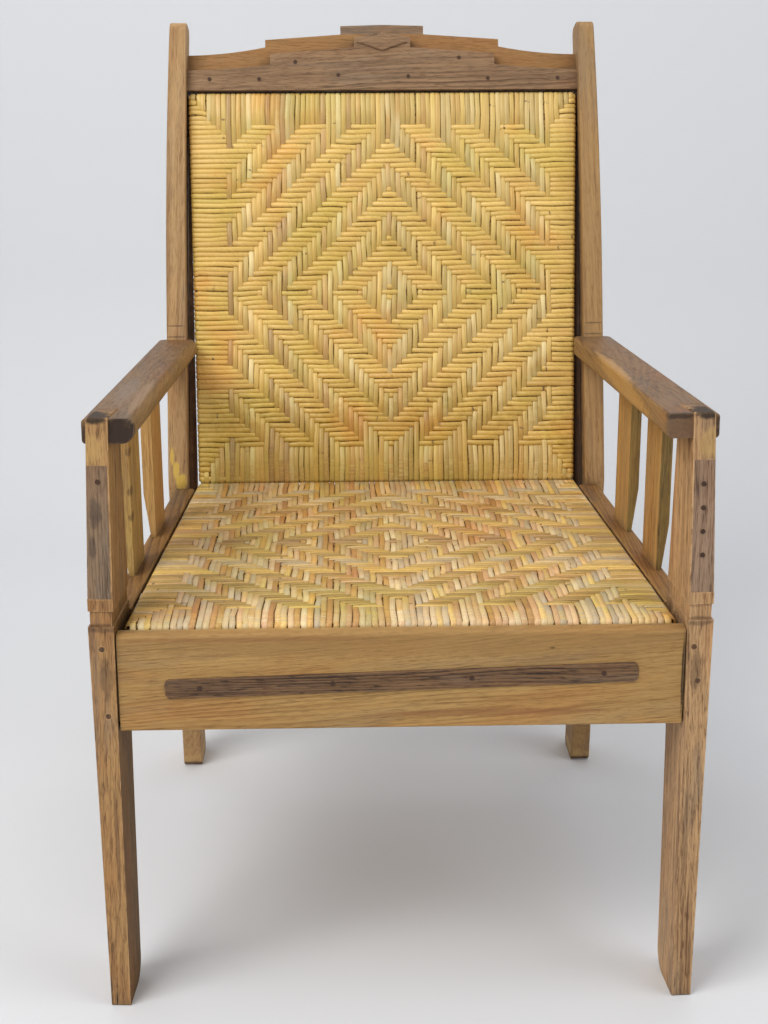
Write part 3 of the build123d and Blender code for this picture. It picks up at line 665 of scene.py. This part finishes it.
def rattan_material(name, stops, along, varied, depth, marks=(), gap_shade_and_dirt=0.75):
    """Split rattan: a skin tone for each strand that changes along it, streaks, nodes, marks that are painted
    shade on the seat and a stain with a darker foot on the back, and painted shade with dirt along each
    strand's sides.
    """
    material, graph, surface = new_material(name)
    tone = graph.add("ShaderNodeVertexColor", layer_name="tone").outputs["Color"]
    split = graph.add("ShaderNodeSeparateColor")
    graph.join(tone, split.inputs["Color"])
    shade, second, run = split.outputs[0], split.outputs[1], split.outputs[2]
    coordinates = graph.add("ShaderNodeTexCoord").outputs["Object"]
    stretch = {"X": (9.0, 520.0, 520.0), "V": (520.0, 9.0, 9.0)}[along]
    moved = graph.vector("ADD", coordinates, tone)
    streak = graph.noise(graph.vector("MULTIPLY", moved, stretch), 1.0, 3.0, 0.6)
    own = graph.add("ShaderNodeCombineXYZ")
    for socket, value, spread in zip(own.inputs, (run, shade, second), (11.0, 57.0, 31.0)):
        graph.put(socket, graph.times(value, spread))
    slow = graph.noise(own.outputs[0], 1.0, 3.0, 0.55)
    drift = graph.times(graph.minus(slow, 0.5), varied)
    colour = graph.ramp(graph.plus(shade, drift, clamp=True), stops)
    colour = graph.mix(1.0, colour, graph.minus(1.06, graph.times(second, depth)), "MULTIPLY")
    broad = graph.smooth(graph.noise(coordinates, 9.0, 3.0, 0.55), 0.45, 0.66)
    colour = graph.mix(broad, colour, (0.90, 0.94, 0.77), "MULTIPLY")
    warm = graph.noise(graph.vector("ADD", coordinates, (3.1, 1.7, 5.3)), 12.0, 3.0, 0.55)
    warm = graph.times(graph.smooth(warm, 0.52, 0.70), 0.75)
    colour = graph.mix(warm, colour, (1.0, 0.82, 0.66), "MULTIPLY")
    dusty = graph.times(graph.smooth(streak, 0.42, 0.80), 0.42)
    colour = graph.mix(dusty, colour, (0.55, 0.40, 0.22), "MULTIPLY")
    # each mark tints the strands where it lies: painted shade on the seat, a stain and a darker foot on the
    # back
    for centre, reach, tint, strength in marks:
        mark = group_node(graph, "patch", Vector=coordinates, Centre=centre, Reach=reach, Ragged=1.4)
        colour = graph.mix(graph.times(mark.outputs["Mask"], strength), colour, tint, "MULTIPLY")
    place = graph.math("FRACT", graph.plus(graph.times(run, 1.7), second))
    ring = graph.math("ABSOLUTE", graph.minus(place, 0.5))
    broken = graph.smooth(graph.noise(moved, 260.0, 2.0, 0.6), 0.45, 0.62)
    ring = graph.times(graph.smooth(ring, 0.0040, 0.0012), broken)
    colour = graph.mix(ring, colour, (0.20, 0.10, 0.035))
    # painted shade with dirt: each strand darker along its sides, in the gaps between strands
    gap_shade_and_dirt_mask = graph.add("ShaderNodeAttribute", attribute_name="edge").outputs["Fac"]
    gap_shade_and_dirt_mask = graph.times(graph.smooth(gap_shade_and_dirt_mask, 0.70, 1.0), gap_shade_and_dirt)
    colour = graph.mix(gap_shade_and_dirt_mask, colour, (0.30, 0.19, 0.085), "MULTIPLY")
    graph.join(colour, surface["Base Color"])
    graph.join(graph.plus(0.30, graph.times(streak, 0.26)), surface["Roughness"])
    raise_relief(graph, surface, graph.minus(graph.times(streak, 0.6), graph.times(ring, 0.3)), 0.6, 0.00035)
    return material


# ---------------------------------------------------------------- operators
class CHAIR_OT_wood(bpy.types.Operator):
    """Give every wooden piece its own plank of wood"""

    bl_idname = "chair.wood"
    bl_label = "Dress the woodwork"

    def execute(self, context):
        GROUPS.update(wood=wood_group(), patch=patch_group(), edges=edge_group())
        look = context.scene.chair_wood
        light, dark = tuple(look.light), tuple(look.dark)
        for side, sign in (("left", -1), ("right", 1)):
            self.legs(side, sign, look)
            self.arm(side, sign)
            plank("side_rail_" + side, light, dark, "Y", top=(0.60, 0.54, 0.48), grey=0.5, dirt=0.8)
        self.front_rail()
        self.crest()
        for node in ("seat_cleat_left", "seat_cleat_right", "seat_frame_left", "seat_frame_right",
                     "back_frame_left", "back_frame_right"):
            plank(node, light, dark, "Y")
        for node in ("rear_rail", "seat_frame_front", "seat_frame_back", "back_frame_top",
                     "back_frame_bottom"):
            plank(node, light, dark, "X")
        return {"FINISHED"}

    def legs(self, side, sign, look):
        """The two legs of a side and the inlay of the front one, with their dents, stains and paint."""
        marks = [
            ((sign * 0.305, -0.322, 0.661), (0.050, 0.050, 0.008), (0.17, 0.105, 0.060), 0.9),
            ((sign * 0.309, -0.385, 0.628), (0.018, 0.012, 0.020), (0.60, 0.37, 0.13), 0.6),
            ((sign * 0.306, -0.375, 0.659), (0.024, 0.034, 0.0085), BLACK, 0.9),
            ((sign * 0.318, -0.386, 0.652), (0.006, 0.012, 0.016), BLACK, 0.6),
            ((sign * 0.306, -0.386, 0.44), (0.022, 0.010, 0.006), BROWN, 0.55),
            ((sign * 0.304, -0.386, 0.385), (0.007, 0.012, 0.030), BROWN, 0.5),
            ((sign * 0.302, -0.386, 0.20), (0.003, 0.010, 0.085), BROWN, 0.4),
        ]
        light = (0.62, 0.37, 0.175) if sign > 0 else (0.50, 0.28, 0.108)
        # the left front leg's faces to +X are tinted darker, most below the seat: painted shade on its inner
        # side
        plank("front_leg_" + side, light, (0.185, 0.088, 0.035), lean=(0.02, sign * 0.03), spacing=0.0038,
              rings=0.6, grey=0.4, red=0.4, checks=1.0, wear=0.85, coarse=1.0, patches=marks, relief=2.0,
              beside=(0.42, 0.35, 0.14) if sign < 0 else None)
        marks = [
            ((sign * 0.306, -0.386, 0.562), (0.008, 0.01, 0.020), (0.060, 0.045, 0.038), 0.55),
            ((sign * 0.311, -0.386, 0.525), (0.005, 0.01, 0.014), (0.060, 0.045, 0.038), 0.5),
        ]
        light = (0.40, 0.255, 0.160) if sign > 0 else (0.325, 0.205, 0.115)
        plank("leg_inlay_" + side, light, (0.14, 0.082, 0.05), spacing=0.003, rings=0.7, grey=0.4,
              checks=0.6, patches=marks if sign < 0 else (), coarse=0.9, relief=1.6)
        marks = [((sign * 0.281, 0.245, 0.012), (0.030, 0.050, 0.014), (0.56, 0.36, 0.15), 0.7)]
        marks += [((sign * 0.281, 0.224, z), (0.017, 0.016, 0.0014), BROWN, 0.6) for z in (0.6417, 0.6275)]
        if sign < 0:
            steps = ((0.2885, 0.474, 0.0034), (0.2830, 0.455, 0.0055), (0.2760, 0.439, 0.0085))
            marks += [((-x, 0.169, z), (reach, 0.020, 0.016), (0.64, 0.42, 0.07), 0.85)
                      for x, z, reach in steps]
        # the right back leg's wood is darker than the left's: painted shade for the dimmer light on the
        # chair's right
        light = (0.425, 0.250, 0.097) if sign > 0 else (0.50, 0.310, 0.137)
        plank("back_leg_" + side, light, (0.25, 0.125, 0.045), lean=(look.lean, sign * 0.05),
              spacing=0.0055, rings=0.7, grey=0.30, red=0.3, wear=0.45, patches=marks)

    def arm(self, side, sign):
        """An arm with its dark ends and rubbed inner edge, and the two slats under it."""
        if sign < 0:
            marks = [
                ((-0.285, -0.390, 0.640), (0.044, 0.020, 0.032), (0.030, 0.015, 0.010), 0.95),
                ((-0.292, -0.20, 0.652), (0.012, 0.11, 0.02), (0.22, 0.17, 0.13), 0.45),
                ((-0.272, -0.25, 0.65), (0.008, 0.14, 0.02), (0.34, 0.21, 0.11), 0.5),
            ]
        else:
            marks = [
                ((0.322, -0.390, 0.640), (0.014, 0.020, 0.040), (0.030, 0.015, 0.010), 0.95),
                ((0.270, -0.390, 0.640), (0.040, 0.020, 0.036), (0.150, 0.090, 0.052), 0.7),
                ((0.270, -0.388, 0.656), (0.040, 0.016, 0.005), (0.045, 0.026, 0.016), 0.8),
                ((0.262, -0.12, 0.635), (0.010, 0.22, 0.016), (0.58, 0.31, 0.09), 0.65),
            ]
        light = (0.35, 0.195, 0.080) if sign > 0 else (0.31, 0.178, 0.078)
        plank("arm_" + side, light, (0.125, 0.062, 0.027), "Y", lean=(-0.05, 0.02), spacing=0.006, rings=0.7,
              grey=0.4, red=0.5, top=(0.74, 0.69, 0.61), patches=marks, polish=0.16, wear=0.5)
        spots = [((-0.296, -0.19, z), (0.006, 0.012, 0.007), BROWN, 0.7) for z in (0.50, 0.53, 0.575)]
        for row in ("front", "rear"):
            olive = row == "front" and sign < 0
            light = (0.52, 0.34, 0.105) if olive else (0.60, 0.345, 0.112)
            # the right slats' forward faces are darkened: painted shade, as they face away from the light
            plank(f"slat_{row}_{side}", light, (0.26, 0.13, 0.042), spacing=0.0035, rings=0.5, red=0.3,
                  front=(0.46, 0.50, 0.40) if sign > 0 else None, patches=spots if olive else ())

    def front_rail(self):
        """The front rail with its knot, split end and darker bands, and the strip let into it."""
        marks = [
            ((0.2915, -0.384, 0.385), (0.0022, 0.01, 0.055), BLACK, 0.85),
            ((0.305, -0.384, 0.38), (0.012, 0.01, 0.06), (0.30, 0.15, 0.055), 0.6),
            ((0.155, -0.384, 0.412), (0.004, 0.004, 0.0022), BLACK, 0.85),
            ((0.0, -0.384, 0.4270), (0.45, 0.02, 0.030), (0.37, 0.205, 0.066), 0.7),
            ((-0.16, -0.384, 0.4250), (0.17, 0.02, 0.0034), (0.33, 0.15, 0.05), 0.5),
            ((0.10, -0.384, 0.3410), (0.16, 0.02, 0.0050), (0.30, 0.13, 0.045), 0.6),
        ]
        plank("front_rail", (0.525, 0.310, 0.103), (0.30, 0.152, 0.044), "X", lean=(0.035, 0.075),
              pith=(0.150, -0.3835, 0.349), rings=0.75, grey=0.22, red=0.35, checks=0.35, coarse=0.30,
              patches=marks)
        plank("front_rail_strip", (0.250, 0.132, 0.058), (0.036, 0.017, 0.010), "X", spacing=0.0028,
              checks=1.0, wear=0.7, coarse=1.0, relief=2.0, dirt=0.9)

    def crest(self):
        plank("crest_rail", (0.365, 0.188, 0.063), (0.29, 0.140, 0.043), "X", lean=(0.0, 0.02), rings=0.3,
              grey=0.15, red=0.25, checks=0.2, coarse=0.3)
        plank("crest_face_board", (0.335, 0.198, 0.100), (0.135, 0.072, 0.036), "X", lean=(0.0, 0.035),
              pith=(0.10, 0.33, 0.93), spacing=0.006, rings=0.65, checks=0.6, relief=1.3)
        plank("crest_cap", (0.31, 0.18, 0.09), (0.14, 0.075, 0.037), "X", grey=0.4)


class CHAIR_OT_fasteners(bpy.types.Operator):
    """Give the nails and pegs their metal and end grain"""

    bl_idname = "chair.fasteners"
    bl_label = "Dress nails and pegs"

    def execute(self, context):
        for node in ("crest_nails", "strip_nails", "inlay_nails"):
            material, graph, surface = new_material("nail iron")
            rust = graph.noise(graph.add("ShaderNodeTexCoord").outputs["Object"], 900.0, 3.0, 0.6)
            colour = graph.ramp(rust, [(0.35, (0.040, 0.020, 0.012)), (0.7, (0.10, 0.045, 0.022))])
            graph.join(colour, surface["Base Color"])
            surface["Metallic"].default_value = 0.1
            surface["Roughness"].default_value = 0.75
            dress(node, material)
        for node, grain in (("leg_pegs", "Y"), ("panel_dowels", "X")):
            plank(node, (0.16, 0.085, 0.042), (0.06, 0.03, 0.015), grain, pith=(0.3, 0.0, 0.4))
        return {"FINISHED"}


class CHAIR_OT_seat_weave(bpy.types.Operator):
    """Weave the seat panel strand by strand"""

    bl_idname = "chair.seat_weave"
    bl_label = "Weave the seat"

    def execute(self, context):
        settings = context.scene.chair_weave
        low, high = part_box("seat_weave_upper")
        panel = Panel(settings, Matrix.Translation((0, low[1], high[2])), start_width=high[0] * 2,
                      end_width=settings.seat_back_width, length=high[1] - low[1], rows=settings.seat_rows,
                      middle=SEAT_MIDDLE, field=(0, 35), weft_share=0.90)
        # painted shade: the seat's middle and rear are darkened, leaving its front brighter where the light
        # falls on it
        shade = [((0.0, 0.16, 0.43), (0.42, 0.20, 0.08), (0.84, 0.78, 0.66), 0.8),
                 ((0.0, -0.02, 0.43), (0.50, 0.28, 0.08), (0.88, 0.84, 0.78), 0.9)]
        warps = rattan_material("seat warp rattan", [
            (0.00, (0.80, 0.48, 0.23)), (0.15, (0.86, 0.61, 0.32)), (0.28, (0.64, 0.52, 0.35)),
            (0.42, (0.90, 0.63, 0.20)), (0.56, (0.81, 0.50, 0.27)), (0.70, (0.92, 0.74, 0.44)),
            (0.84, (0.80, 0.48, 0.14)), (1.00, (0.60, 0.32, 0.13))], "V", 0.55, 0.26, shade, gap_shade_and_dirt=0.6)
        wefts = rattan_material("seat weft rattan", [
            (0.0, (0.76, 0.48, 0.25)), (0.20, (0.70, 0.44, 0.13)), (0.38, (0.86, 0.58, 0.17)),
            (0.58, (0.80, 0.53, 0.18)), (0.76, (0.92, 0.71, 0.40)), (1.0, (0.92, 0.78, 0.55))],
            "X", 0.55, 0.46, shade, gap_shade_and_dirt=0.95)
        skins = ("seat_weave_upper", "seat_weave_under")
        weave_panel("seat_weave", panel, "seat", skins, settings, (warps, wefts))
        return {"FINISHED"}


class CHAIR_OT_back_weave(bpy.types.Operator):
    """Weave the back panel strand by strand"""

    bl_idname = "chair.back_weave"
    bl_label = "Weave the back"

    def execute(self, context):
        settings = context.scene.chair_weave
        place, length, head_width = back_panel_place(settings)
        panel = Panel(settings, place, start_width=settings.back_foot_width, end_width=head_width,
                      length=length, rows=settings.back_rows, middle=BACK_MIDDLE, field=(1, 32),
                      weft_share=0.985)
        # a reddish stain, and the panel made darker towards its foot
        stain_and_darker_foot = [((-0.047, 0.277, 0.635), (0.012, 0.03, 0.014), (0.42, 0.20, 0.16), 0.7),
                 ((0.0, 0.17, 0.46), (0.38, 0.09, 0.14), (0.82, 0.76, 0.62), 0.85)]
        warps = rattan_material("back warp rattan", [
            (0.00, (0.78, 0.53, 0.15)), (0.16, (0.82, 0.59, 0.195)), (0.32, (0.72, 0.46, 0.140)),
            (0.48, (0.80, 0.54, 0.160)), (0.64, (0.67, 0.47, 0.150)), (0.82, (0.88, 0.69, 0.32)),
            (0.90, (0.78, 0.49, 0.160)), (1.00, (0.60, 0.38, 0.150))], "V", 0.5, 0.22, stain_and_darker_foot)
        wefts = rattan_material("back weft rattan", [
            (0.0, (0.72, 0.45, 0.122)), (0.30, (0.80, 0.53, 0.144)), (0.55, (0.74, 0.50, 0.130)),
            (0.80, (0.84, 0.57, 0.175)), (1.0, (0.77, 0.49, 0.130))], "X", 0.5, 0.13, stain_and_darker_foot, gap_shade_and_dirt=0.5)
        skins = ("back_weave_front", "back_weave_rear")
        weave_panel("back_weave", panel, "chair", skins, settings, (warps, wefts))
        return {"FINISHED"}


class CHAIR_OT_packing(bpy.types.Operator):
    """Pack out the wedge of space between each back leg and the back panel"""

    bl_idname = "chair.packing"
    bl_label = "Fit the packing"

    def execute(self, context):
        settings = context.scene.chair_weave
        place, length, head_width = back_panel_place(settings)
        ends = (settings.back_foot_width / 2, head_width / 2)
        gaps = (settings.foot_gap, settings.head_gap)
        # the right packing's near-black wood is painted shade for the dark line between leg and panel; the
        # left one has a lighter wood
        packing_woods_and_shade = {"left": ((0.30, 0.17, 0.085), (0.10, 0.052, 0.026)),
                  "right": ((0.13, 0.07, 0.034), (0.05, 0.026, 0.014))}
        for side, sign in (("left", -1), ("right", 1)):
            mesh = bpy.data.meshes.new("back_packing_" + side)
            shape = bmesh.new()
            for corner in bmesh.ops.create_cube(shape, size=1.0)["verts"]:
                outer, head, front = (value > 0 for value in corner.co)
                inner = settings.packing_gap if side == "left" and not head else settings.packing_clearance
                u = ends[head] + (gaps[head] if outer else inner)
                v = length if head else -settings.packing_foot
                w = -settings.packing_setback - (0 if front else settings.packing_depth)
                corner.co = place @ Vector((sign * u, v, w))
            bmesh.ops.recalc_face_normals(shape, faces=shape.faces)
            bmesh.ops.bevel(shape, geom=shape.edges, offset=0.0003, offset_type="OFFSET", segments=2,
                            profile=0.5, affect="EDGES", material=-1, clamp_overlap=True)
            shape.to_mesh(mesh)
            shape.free()
            light, dark = packing_woods_and_shade[side]
            mesh.materials.append(wood_material(mesh.name, light, dark, lean=(settings.recline, 0.0),
                                                pith=(sign * 0.24, 0.22, 0.70)))
            piece = bpy.data.objects.new(mesh.name, mesh)
            context.scene.collection.objects.link(piece)
            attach(piece, "chair")
        return {"FINISHED"}


FLOOR_REACH, WALL_PLACE, WALL_HEIGHT, COVE = 6.0, 1.75, 4.5, 0.5


class CHAIR_OT_studio(bpy.types.Operator):
    """Set the floor, the wall, the lights and the camera"""

    bl_idname = "chair.studio"
    bl_label = "Build the studio"

    def execute(self, context):
        look = context.scene.chair_studio
        mesh = bpy.data.meshes.new("studio_floor")
        shape = bmesh.new()
        bmesh.ops.create_grid(shape, x_segments=1, y_segments=1, size=FLOOR_REACH)
        edge = [e for e in shape.edges if all(v.co.y > FLOOR_REACH / 2 for v in e.verts)]
        for vertex in edge[0].verts:
            vertex.co.y = WALL_PLACE
        raised = bmesh.ops.extrude_edge_only(shape, edges=edge)["geom"]
        raised = [part for part in raised if isinstance(part, bmesh.types.BMVert)]
        bmesh.ops.translate(shape, vec=(0, 0, WALL_HEIGHT), verts=raised)
        corner = [e for e in shape.edges if abs(e.calc_face_angle(0.0)) > 1.0]
        bmesh.ops.bevel(shape, geom=corner, offset=COVE, offset_type="OFFSET", segments=12, profile=0.5,
                        affect="EDGES", material=-1)
        bmesh.ops.recalc_face_normals(shape, faces=shape.faces)
        shape.to_mesh(mesh)
        shape.free()
        for polygon in mesh.polygons:
            polygon.use_smooth = True
        paint, graph, surface = new_material("studio paint")
        graph.put(surface["Base Color"], (0.78, 0.79, 0.81))
        surface["Roughness"].default_value = 0.85
        mesh.materials.append(paint)
        backdrop = bpy.data.objects.new("studio_floor", mesh)
        context.scene.collection.objects.link(backdrop)

        def area(name, place, aim, size, power, tint):
            lamp = bpy.data.lights.new(name, "AREA")
            lamp.shape = "RECTANGLE"
            lamp.size, lamp.size_y = size
            lamp.energy = power
            lamp.color = tint
            holder = bpy.data.objects.new(name, lamp)
            holder.location = place
            holder.rotation_euler = (Vector(aim) - Vector(place)).to_track_quat("-Z", "Y").to_euler()
            context.scene.collection.objects.link(holder)

        area("key light", (-1.6, -1.7, 2.7), (0, 0, 0.5), (1.8, 1.8), look.key, (1.0, 0.985, 0.96))
        area("fill light", (2.2, -1.2, 1.9), (0, 0, 0.5), (2.0, 2.0), look.fill, (0.96, 0.98, 1.0))
        area("top light", (0.0, 0.2, 3.2), (0, 0, 0), (2.6, 2.2), look.fill, (1.0, 1.0, 1.0))
        world = bpy.data.worlds.new("studio air")
        world.use_nodes = True
        world.node_tree.nodes["Background"].inputs["Color"].default_value = (0.85, 0.88, 0.92, 1)
        world.node_tree.nodes["Background"].inputs["Strength"].default_value = 0.35
        context.scene.world = world
        data = bpy.data.cameras.new("camera")
        data.sensor_fit = "VERTICAL"
        data.sensor_height = 24.0
        data.lens = look.lens
        camera = bpy.data.objects.new("camera", data)
        turn = Matrix.Rotation(-look.yaw, 4, "Z") @ Matrix.Rotation(math.pi / 2 - look.pitch, 4, "X")
        turn = turn @ Matrix.Rotation(look.roll, 4, "Z")
        camera.matrix_world = Matrix.Translation(look.camera_place) @ turn
        context.scene.collection.objects.link(camera)
        context.scene.camera = camera
        context.scene.view_settings.view_transform = "Standard"
        return {"FINISHED"}


class CHAIR_PT_panel(bpy.types.Panel):
    """Settings and steps of the chair"""

    bl_label = "Woven armchair"
    bl_idname = "CHAIR_PT_panel"
    bl_space_type = "VIEW_3D"
    bl_region_type = "UI"
    bl_category = "Chair"

    def draw(self, context):
        layout = self.layout
        for settings in (context.scene.chair_weave, context.scene.chair_wood, context.scene.chair_studio):
            box = layout.box()
            for name in settings.bl_rna.properties.keys():
                if name not in ("rna_type", "name"):
                    box.prop(settings, name)
        for operator in OPERATORS:
            layout.operator(operator.bl_idname)


OPERATORS = (CHAIR_OT_wood, CHAIR_OT_fasteners, CHAIR_OT_packing, CHAIR_OT_seat_weave, CHAIR_OT_back_weave,
             CHAIR_OT_studio)
SETTINGS = {"chair_weave": WeaveSettings, "chair_wood": WoodSettings, "chair_studio": StudioSettings}
CLASSES = (*SETTINGS.values(), *OPERATORS, CHAIR_PT_panel)


def register():
    for cls in CLASSES:
        bpy.utils.register_class(cls)
    for name, settings in SETTINGS.items():
        setattr(bpy.types.Scene, name, PointerProperty(type=settings))


def unregister():
    for name in SETTINGS:
        delattr(bpy.types.Scene, name)
    for cls in reversed(CLASSES):
        bpy.utils.unregister_class(cls)


def main():
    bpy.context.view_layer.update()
    register()
    for operator in (bpy.ops.chair.wood, bpy.ops.chair.fasteners, bpy.ops.chair.packing,
                     bpy.ops.chair.seat_weave, bpy.ops.chair.back_weave, bpy.ops.chair.studio):
        if operator() != {"FINISHED"}:
            raise RuntimeError("a step did not finish")


if __name__ == "__main__":
    main()
